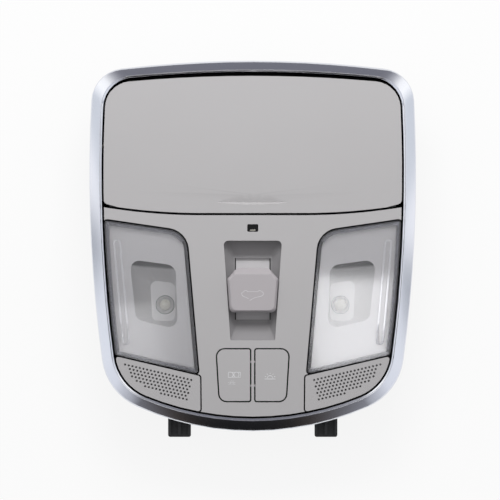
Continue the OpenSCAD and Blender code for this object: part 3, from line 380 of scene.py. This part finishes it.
# %% [markdown]
# ## Rounding the visible edges
# A moulded edge is never sharp: it has a radius of a few tenths of a millimetre, and a thin highlight
# runs along it. The pieces of the face therefore stand in for their CAD nodes: a copy of the mesh is
# merged, its flat faces are joined, and every edge that turns sharply is bevelled. The shape and the size
# stay those of the node. Where a piece has a second finish, a small test on each face says where that one
# goes.

# %% Rounding the visible edges
FLAT_DEG = 0.4    # faces that turn less than this are joined
SHARP_DEG = 32    # edges that turn more than this are rounded
SMOOTH_DEG = 24   # edges that turn less than this are shaded smooth
MERGE = 0.001 * MM


def merged(node):
    """The CAD node's mesh with its loose triangles joined."""
    bm = bmesh.new()
    bm.from_mesh(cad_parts[node].data)
    bmesh.ops.remove_doubles(bm, verts=bm.verts, dist=MERGE)
    bmesh.ops.dissolve_degenerate(bm, edges=bm.edges, dist=MERGE)
    bmesh.ops.dissolve_limit(bm, angle_limit=math.radians(FLAT_DEG), verts=bm.verts, edges=bm.edges)
    bm.verts.index_update()
    bm.verts.ensure_lookup_table()
    return bm


def finished_piece(name, bm, body, slot, *finishes, smooth_deg=SMOOTH_DEG):
    """Makes the piece of a bmesh: its object, its finishes and the body that it rides on."""
    mesh = bpy.data.meshes.new(name)
    bm.to_mesh(mesh)
    bm.free()
    mesh.shade_smooth()
    mesh.set_sharp_from_angle(angle=math.radians(smooth_deg))
    for finish in finishes:
        mesh.materials.append(finish)
    piece = add_object(name, mesh)
    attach(piece, body)
    print(f"{name}: {len(mesh.polygons)} faces")
    return piece


def dressed(node, body, slot, finish, radius_mm, others=()):
    """Puts a piece with rounded edges in a node's place. others pairs a finish with a test of a place."""
    bm = merged(node)
    if radius_mm:
        edges = [e for e in bm.edges
                 if len(e.link_faces) == 2 and e.calc_face_angle(0) > math.radians(SHARP_DEG)]
        bmesh.ops.bevel(bm, geom=edges, offset=radius_mm * MM, offset_type="OFFSET", affect="EDGES",
                        segments=2, profile=0.5, material=-1, clamp_overlap=True)
    bmesh.ops.triangulate(bm, faces=[f for f in bm.faces if len(f.verts) > 4])
    for number, (_, belongs) in enumerate(others, start=1):
        for face in bm.faces:
            if belongs(face.calc_center_median()):
                face.material_index = number
    piece = finished_piece("dressed_" + node, bm, body, slot, finish, *[other for other, _ in others])
    piece.modifiers.new("even_shading", "WEIGHTED_NORMAL").keep_sharp = True
    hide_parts(node)


dressed("face_panel", "housing", "face", face_grey, 0.3)
dressed("door_panel", "door", "face", face_grey, 0.35)
dressed("left_button", "left_button", "face", face_grey, 0.3)
dressed("right_button", "right_button", "face", face_grey, 0.3)
dressed("left_grille", "housing", "face", face_grey, 0.0)
dressed("right_grille", "housing", "face", face_grey, 0.0)
dressed("switch_well", "housing", "well", well_grey_painted_shade, 0.0)
dressed("sunroof_knob", "knob", "knob", knob_grey, 0.3)
dressed("bezel_ring", "housing", "bezel", satin_ring, 0.0)

# %% [markdown]
# ## Lenses
# Each lens is one clear moulding with a rim below it and two touch ridges on top, by which a finger finds
# the switch in the dark. The rim and the ridges get their own finishes, paler and less clear than the
# plate's. These finishes paint the light that the rim and ridges catch more than the flat plate does: a
# painted haze on the rim and painted glints on the ridges.

# %% Lenses
LENS_T = 2.2 * MM
for side in ("left", "right"):
    dressed(side + "_lens", side + "_lens", "lens", lens_clear, 0.25, others=[
        (lens_rim, lambda c: c.z < face_z(c.y) - LENS_T - 0.1 * MM),
        (ridge_painted_glint, lambda c: c.z > face_z(c.y) + 0.08 * MM)])

# %% [markdown]
# ## Ribs in the lens rim
# Inside the rim of each lens runs a row of tiny prisms, which hide the edge of the mask and sparkle. Their
# finish is paler and less clear than the lens: a painted sparkle. The row follows the real outline: the
# edge of the lens is read from the frame, and one prism is put down every 0.7 mm with its point down. The
# long side towards the middle of the console has none. A prism is a cone with three sides, laid on its
# side.

# %% Ribs
RIB_PITCH = 0.7 * MM
RIB_R = 0.42 * MM
RIB_FROM, RIB_TO = 0.7 * MM, 2.7 * MM  # how far in from the edge a rib begins and ends
RIB_SINK = 0.2 * MM                    # how far the ribs lie below the lens's underside
INNER_SIDE = 9 * MM                    # the slanted inner side lies within this width


def outer_edge(node, drop):
    """The corners of a plate's outline, in order, where its top meets its sides within drop of the face."""
    bm = merged(node)
    rim = [e for e in bm.edges if len(e.link_faces) == 2
           and sorted(f.normal.z > 0.9 for f in e.link_faces) == [False, True]
           and min(abs(f.normal.z) for f in e.link_faces) < 0.3
           and abs(e.verts[0].co.z - face_z(e.verts[0].co.y)) < drop]
    nexts = {}
    for e in rim:
        for a, b in (e.verts, reversed(e.verts)):
            nexts.setdefault(a.index, []).append(b.index)
    loops, left = [], set(nexts)
    while left:
        loop, here = [], left.pop()
        while here is not None:
            loop.append(here)
            here = next((n for n in nexts[here] if n in left), None)
            left.discard(here)
        loops.append([bm.verts[i].co.copy() for i in loop])
    bm.free()
    return max(loops, key=lambda loop: sum((a - b).length for a, b in zip(loop, loop[1:])))


def along_loop(points, pitch):
    """Places every pitch along a closed chain, each with the direction of its stretch."""
    spare = 0.0
    for a, b in zip(points, points[1:] + points[:1]):
        run = b - a
        step = spare
        while step < run.length:
            yield a + run * (step / run.length), run.normalized()
            step += pitch
        spare = step - run.length


def ribs(side):
    edge = outer_edge(side + "_lens", 0.05 * MM)
    middle = sum(edge, Vector()) / len(edge)
    inner_x = min(abs(p.x) for p in edge)
    bm = bmesh.new()
    for spot, run in along_loop(edge, RIB_PITCH):
        inward = Vector((-run.y, run.x, 0)).normalized()
        if inward.dot(middle - spot) < 0:
            inward = -inward
        if abs(inward.x) > 0.8 and abs(spot.x) < inner_x + INNER_SIDE:
            continue
        at = spot + inward * (RIB_FROM + RIB_TO) / 2
        at.z = face_z(at.y) - LENS_T - RIB_SINK
        down = Vector((0, 0, -1))
        turn = Matrix((down, inward.cross(down), inward)).transposed().to_4x4()
        bmesh.ops.create_cone(bm, cap_ends=True, segments=3, radius1=RIB_R, radius2=RIB_R,
                              depth=RIB_TO - RIB_FROM, matrix=Matrix.Translation(at) @ turn)
    bmesh.ops.recalc_face_normals(bm, faces=bm.faces)
    finished_piece(side + "_lens_ribs", bm, side + "_lens", "lens", rib_painted_sparkle)


for side in ("left", "right"):
    ribs(side)

# %% [markdown]
# ## Dust cloths
# Behind each microphone grille lies a thin grey cloth, so the holes look grey and not black. Its outline
# is that of the grille, drawn in by a millimetre.

# %% Dust cloths
CLOTH_DROP, CLOTH_T, CLOTH_IN = 1.7 * MM, 0.15 * MM, 1.0 * MM
cloth_grey = flock("cloth_grey", srgb(150, 149, 150))
for side in ("left", "right"):
    edge = outer_edge(side + "_grille", 0.05 * MM)
    middle = sum(edge, Vector()) / len(edge)
    bm = bmesh.new()
    outline = [p + (middle - p).normalized() * CLOTH_IN for p in edge]
    cloth = bm.faces.new([bm.verts.new((p.x, p.y, face_z(p.y) - CLOTH_DROP)) for p in outline])
    grown = bmesh.ops.extrude_face_region(bm, geom=[cloth])
    bmesh.ops.translate(bm, verts=[g for g in grown["geom"] if isinstance(g, bmesh.types.BMVert)],
                        vec=(0, 0, -CLOTH_T))
    bmesh.ops.recalc_face_normals(bm, faces=bm.faces)
    finished_piece(side + "_dust_cloth", bm, "housing", "felt", cloth_grey)

# %% [markdown]
# ## Light sources
# Under the window in each mask sits a light source: a grey collar round a small bright dome. Both are
# turned shapes, so each is a profile that is spun round the source's axis. The collar and the dome are
# one piece, which stands in for the plain optic of the CAD, inside its size.

# %% Light sources
SPIN_STEPS = 40
DOME_R = 3.3      # of the bright dome, in millimetres
DOME_FOOT = 1.6   # height of its foot above the board


def turned(bm, profile, centre):
    """Spins a profile of (radius, height) pairs in millimetres round a vertical axis through centre."""
    verts = [bm.verts.new((r * MM, 0, z * MM)) for r, z in profile]
    edges = [bm.edges.new(pair) for pair in zip(verts, verts[1:])]
    bmesh.ops.spin(bm, geom=verts + edges, cent=(0, 0, 0), axis=(0, 0, 1), angle=math.tau, steps=SPIN_STEPS,
                   use_merge=True)
    bmesh.ops.remove_doubles(bm, verts=bm.verts, dist=1e-7)
    bmesh.ops.translate(bm, verts=bm.verts, vec=centre)
    bmesh.ops.recalc_face_normals(bm, faces=bm.faces)


def light_source(side):
    low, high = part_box(side + "_led_optic")
    centre = Vector(((low[0] + high[0]) / 2, (low[1] + high[1]) / 2, low[2]))
    r = (high[0] - low[0]) / 2 / MM
    tall = (high[2] - low[2]) / MM
    collar = [(0, 0), (r, 0), (r, 2.2), (r - 0.35, 2.55), (DOME_R + 0.9, 2.3), (DOME_R + 0.25, DOME_FOOT)]
    angles = [math.radians(90 - 15 * i) for i in range(7)]
    dome = [(DOME_R * math.sin(a), DOME_FOOT + (tall - DOME_FOOT - 0.1) * math.cos(a)) for a in angles]
    bm = bmesh.new()
    turned(bm, collar + dome, centre)
    piece = finished_piece(side + "_light_source", bm, "housing", "optic", optic_clear, source_clear,
                           smooth_deg=40)
    for face in piece.data.polygons:
        face.material_index = int((face.center - centre).xy.length < DOME_R * MM)
    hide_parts(side + "_led_optic")


for side in ("left", "right"):
    light_source(side)

# %% [markdown]
# ## Sensor strip
# The dark window over the door switch shows the pale edge of the sensor below it: a short strip at its
# lower edge. It is a small bar with bevelled corners, let into the window's surface.

# %% Sensor strip
low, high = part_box("sensor_window")
STRIP_W, STRIP_L, STRIP_T = 3.2 * MM, 0.9 * MM, 0.16 * MM
STRIP_DROP = 0.36 * MM    # of its middle below the face
STRIP_MARGIN = 0.35 * MM  # from the window's lower edge
strip_y = low[1] + STRIP_MARGIN + STRIP_L / 2
bm = bmesh.new()
bmesh.ops.create_cube(bm, size=1, matrix=Matrix.Translation((0, strip_y, face_z(strip_y) - STRIP_DROP))
                      @ Matrix.Diagonal((STRIP_W, STRIP_L, STRIP_T, 1)))
bmesh.ops.bevel(bm, geom=bm.edges, offset=0.06 * MM, offset_type="OFFSET", affect="EDGES", segments=2,
                profile=0.5, material=-1)
strip_grey = moulded("strip_grey", srgb(150, 148, 140), 0.3)
finished_piece("sensor_strip", bm, "housing", "white_plastic", strip_grey)

# %% [markdown]
# ## Signs
# The knob and the buttons carry small printed signs: a car with its roof opening, a rising lamp with
# rays, and a pair of lamps with a door between. They are thin strokes of pale ink. Each stroke is a curve
# with a round section, made into a mesh, pressed nearly flat, and laid on the surface.

# %% Signs
def ink(name, colour):
    f = Finish(name)
    print_grain = f.noise(0.15)
    return f.done(f.surface(Base_Color=f.blend_colours(print_grain, [c * 0.92 for c in colour], colour),
                            Roughness=0.5 + 0.1 * print_grain))


pale_ink = ink("pale_ink", srgb(232, 232, 234))
INK_RISE = 0.05 * MM    # the crown of a stroke above the height that it is laid at
INK_SINK = 0.05 * MM    # its foot below that height
INK_SHOWS = 0.008 * MM  # what stands above the knob's top, which is also the top of the CAD's box


def sign(name, strokes, body, slot, height, width_mm):
    """Strokes are lists of places in mm from the middle of the bezel. height gives the surface at y."""
    curve = bpy.data.curves.new(name, "CURVE")
    curve.dimensions = "3D"
    curve.bevel_depth = width_mm / 2 * MM
    curve.bevel_resolution = 2
    curve.use_fill_caps = True
    for stroke in strokes:
        line = curve.splines.new("POLY")
        line.points.add(len(stroke) - 1)
        for point, (x, y) in zip(line.points, stroke):
            point.co = (x * MM, y * MM + SEAT, 0, 1)
    rod = add_object(name + "_rod", curve)
    bm = bmesh.new()
    rod_mesh = bpy.data.meshes.new_from_object(rod.evaluated_get(bpy.context.evaluated_depsgraph_get()))
    bm.from_mesh(rod_mesh)
    bpy.data.objects.remove(rod)
    for v in bm.verts:
        sink = INK_SINK if v.co.z < 0 else 0
        v.co.z = height(v.co.y) + max(v.co.z, 0) * INK_RISE / (width_mm / 2 * MM) - sink
    finished_piece(name, bm, body, slot, pale_ink, smooth_deg=60)


def arc(cx, cy, r, a0, a1, n=8):
    """Points along an arc round (cx, cy) from angle a0 to a1, in degrees."""
    return [(cx + r * math.cos(math.radians(a0 + (a1 - a0) * i / n)),
             cy + r * math.sin(math.radians(a0 + (a1 - a0) * i / n))) for i in range(n + 1)]


KNOB_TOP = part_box("sunroof_knob")[1][2]
BUTTON_RISE = 0.4 * MM


def on_knob(y):
    return KNOB_TOP - INK_RISE + INK_SHOWS


def on_button(y):
    return face_z(y) + BUTTON_RISE


car = [(-2.4, -30.7), (-3.8, -30.0), (-5.4, -29.4), (-6.3, -28.6), (-6.5, -27.7), (-6.1, -27.0),
       (-5.2, -26.6), (-4.7, -26.0), (-4.1, -25.8), (-3.5, -26.1), (-2.9, -26.6), (2.9, -26.6),
       (3.5, -26.1), (4.2, -25.9), (5.3, -26.5), (6.1, -27.2), (6.3, -27.9), (5.8, -28.7), (4.9, -29.3),
       (3.2, -29.6), (1.0, -30.2), (-1.8, -31.7)]
sign("sign_roof", [car], "knob", "knob", on_knob, 0.52)

# %% [markdown]
# The rising lamp is half a disc on a line, with five rays. The other button has two small signs: a pair
# of lamps joined side by side with the door between them, and below it the same rising lamp, smaller.

# %% Signs on the buttons
def rising_lamp(x, y, size):
    """A half round on a line with five rays, size millimetres wide."""
    r = 0.27 * size
    rays = [[(x + a * size * math.cos(math.radians(t)),
              y + 0.08 * size + a * size * math.sin(math.radians(t))) for a in (0.40, 0.52)]
            for t in (20, 55, 90, 125, 160)]
    return [[(x - size / 2, y), (x + size / 2, y)], arc(x, y + 0.06 * size, r, 180, 0)] + rays


sign("sign_lamp", rising_lamp(10.1, -77.6, 6.2), "right_button", "face", on_button, 0.4)
first_lamp = arc(-12.9, -75.1, 1.5, -90, 90, 6)
pair = [[(-14.2, -73.6), (-14.2, -76.6), (-12.9, -76.6)] + first_lamp[1:] + [(-14.2, -73.6)],
        arc(-9.5, -75.1, 1.5, 0, 360, 14), [(-7.2, -73.6), (-7.2, -76.6), (-8.4, -76.6)],
        [(-8.4, -73.6), (-7.2, -73.6)], [(-12.0, -73.7), (-10.2, -73.7)], [(-12.0, -76.5), (-10.2, -76.5)]]
sign("sign_pair", pair, "left_button", "face", on_button, 0.4)
sign("sign_small_lamp", rising_lamp(-12.2, -80.6, 4.0), "left_button", "face", on_button, 0.28)

# %% [markdown]
# ## Studio
# The photograph was taken from straight in front against white. The console lies on its back, so the
# camera looks down with a very long lens, which keeps the hooks below the ring in sight. The floor is
# white for the camera and for mirror rays, and keeps a trace of the shadow. The world is white for the
# camera.

# %% Camera
PHOTO_PX = 500
MM_PER_PX = 0.5828
FRAME_W = PHOTO_PX * MM_PER_PX * MM       # what the picture spans at the face, from side to side
SHIFT_X, SHIFT_Y = -1.6 * MM, -2.33 * MM  # of the picture's middle from that of the bezel
CAMERA_UP = 5.0
camera = add_object("camera", bpy.data.cameras.new("camera"))
camera.location = (SHIFT_X, SEAT + SHIFT_Y, FACE_Z + CAMERA_UP)
camera.data.sensor_width = 36
camera.data.lens = 36 * CAMERA_UP / FRAME_W
camera.data.clip_end = 50
bpy.context.scene.camera = camera
print("lens", round(camera.data.lens), "mm")

# %% Floor
FLOOR_HALF = 0.30
SHADOW_SHARE = 0.12  # how much of the floor's own light and shadow is seen
paper = Finish("paper")
rays = paper.node("ShaderNodeLightPath")
WHITE_FOR = ("Is Camera Ray", "Is Glossy Ray", "Is Transmission Ray")
seen = sum(Signal(paper, rays.outputs[ray]) for ray in WHITE_FOR)
matt = paper.value("ShaderNodeBsdfDiffuse", None, {"Color": (0.9, 0.9, 0.9, 1)})
glow = paper.value("ShaderNodeEmission", None, {"Color": (1, 1, 1, 1), "Strength": 1.0})
lit = paper.value("ShaderNodeMixShader", None, {0: 1 - SHADOW_SHARE, 1: matt, 2: glow})
bm = bmesh.new()
bmesh.ops.create_grid(bm, x_segments=1, y_segments=1, size=FLOOR_HALF)
floor_mesh = bpy.data.meshes.new("floor")
bm.to_mesh(floor_mesh)
bm.free()
shown = paper.value("ShaderNodeMixShader", None, {0: seen.within(), 1: matt, 2: lit})
floor_mesh.materials.append(paper.done(shown))
add_object("floor", floor_mesh)
print("floor", 2 * FLOOR_HALF, "m wide")

# %% [markdown]
# ## What the ring mirrors
# A plated ring has hardly any colour of its own: it shows the room. So the room is a ramp round the
# horizon. It starts at the buttons' end with a black wall, has white walls at both sides with a greyer
# gap between their panels, is brightest at the corners of the sunglasses end, and ends there with a grey
# wall. Overhead is one soft patch, which the flat reflectors mirror. The camera sees the world as white,
# and mirror rays see the room, since that is what makes the ring look like metal. Rays that leave a matt
# surface see a softer sky, which is bright overhead, dim at the horizon and dimmer still towards the
# buttons' end.

# %% World
def wall(azimuth, *levels):
    """A stop of the room's ramp: the azimuth counts from the side walls, up to 90 at the sunglasses end."""
    return 0.5 + 0.5 * math.sin(math.radians(azimuth)), levels


ROOM = [wall(-90, 0.012, 0.012, 0.013), wall(-84, 0.013, 0.013, 0.014), wall(-77, 0.05, 0.04, 0.035),
        wall(-69, 0.20, 0.20, 0.22), wall(-60, 0.48, 0.49, 0.53), wall(-40, 0.84, 0.86, 0.92),
        wall(-8, 0.92, 0.94, 0.99), wall(-5, 0.40, 0.42, 0.46), wall(-3.5, 0.41, 0.43, 0.47),
        wall(-1, 1.12, 1.12, 1.15), wall(1.5, 1.10, 1.10, 1.13), wall(4, 0.74, 0.77, 0.82),
        wall(18, 0.80, 0.83, 0.88), wall(36, 1.25, 1.25, 1.25), wall(49, 1.15, 1.15, 1.15),
        wall(62, 0.50, 0.50, 0.53), wall(72, 0.25, 0.25, 0.28), wall(90, 0.205, 0.205, 0.235)]
SKY = 0.95         # level of the matt surfaces' sky overhead
SKY_FLOOR = 0.04   # and at the horizon
SKY_SOUTH = 0.12   # the share of it that is left towards the buttons' end
ROOM_TURN = 0.026  # the room is turned by this slope, so its right side stays bright a little further down
PATCH = (0.6, 0.6, 0.61)
world = bpy.data.worlds.new("studio")
bpy.context.scene.world = world
sky = Finish("studio", world)
way = sky.value("ShaderNodeTexCoord", output="Generated")
level = sky.value("ShaderNodeVectorMath", {"operation": "MULTIPLY"}, {0: way, 1: (1, 1, 0)})
level = sky.value("ShaderNodeVectorMath", {"operation": "NORMALIZE"}, {0: level})
along = sky.value("ShaderNodeVectorMath", {"operation": "DOT_PRODUCT"}, {0: level, 1: (ROOM_TURN, 1, 0)},
                  "Value")
up = sky.value("ShaderNodeSeparateXYZ", None, {0: way}, "Z")
walls = (along * 0.5 + 0.5).colours(ROOM)
room = sky.blend_colours(up.ramp(0.9, 0.985), walls, PATCH)
white_rays = sky.node("ShaderNodeLightPath")
seen = sum(Signal(sky, white_rays.outputs[ray]) for ray in ("Is Camera Ray", "Is Transmission Ray"))
matt_rays = Signal(sky, white_rays.outputs["Is Diffuse Ray"])
north = sky.value("ShaderNodeSeparateXYZ", None, {0: way}, "Y")
overhead = up.ramp(0.15, 0.95) * (SKY_SOUTH + (1 - SKY_SOUTH) * north.ramp(-0.45, 0.35))
soft_sky = sky.blend_colours(overhead, [SKY_FLOOR] * 3, [SKY] * 3)
surroundings = sky.blend_colours(matt_rays, room, soft_sky)
dome = sky.value("ShaderNodeBackground", None, {"Color": surroundings, "Strength": 1.0})
white = sky.value("ShaderNodeBackground", None, {"Color": (1, 1, 1, 1), "Strength": 1.0})
sky.node("ShaderNodeOutputWorld", None,
         {"Surface": sky.value("ShaderNodeMixShader", None, {0: seen.within(), 1: dome, 2: white})})
print("stops of the room:", len(ROOM))

# %% [markdown]
# ## Lamps
# The key lamp hangs beyond the sunglasses end. It makes the face a little lighter there, and it shades
# the upper wall of the switch well. Matt surfaces get their form from it, and mirror rays don't see it,
# because the room already holds what the ring shows. Two small soft boxes high overhead are there for the
# lenses alone: a flat gloss shows a lamp only where it mirrors it, and they lie where the lower part of
# each lens does.

# %% Lamps
def softbox(name, place, aim, size, radiance):
    """A rectangular lamp that looks from place to aim. A radiance of 1 looks as white as paper."""
    data = bpy.data.lights.new(name, "AREA")
    data.shape, data.size, data.size_y = "RECTANGLE", size[0], size[1]
    data.energy = radiance * math.pi * size[0] * size[1]
    lamp_object = add_object(name, data)
    lamp_object.location = place
    lamp_object.rotation_euler = (Vector(aim) - Vector(place)).to_track_quat("-Z", "Y").to_euler()
    lamp_object.visible_camera = False
    return lamp_object


key = softbox("key", (0.0, 0.60, 0.66), (0, 0.0, FACE_Z), (0.5, 0.35), 8.4)
key.visible_glossy = False
GLARE_UP = 2.0
softbox("right_glare", (0.083, -0.192, FACE_Z + GLARE_UP), (0.083, -0.192, 0), (0.08, 0.237), 2.8)
softbox("left_glare", (-0.100, -0.22, FACE_Z + GLARE_UP), (-0.100, -0.22, 0), (0.05, 0.16), 1.2)
bpy.context.scene.view_settings.view_transform = "Standard"
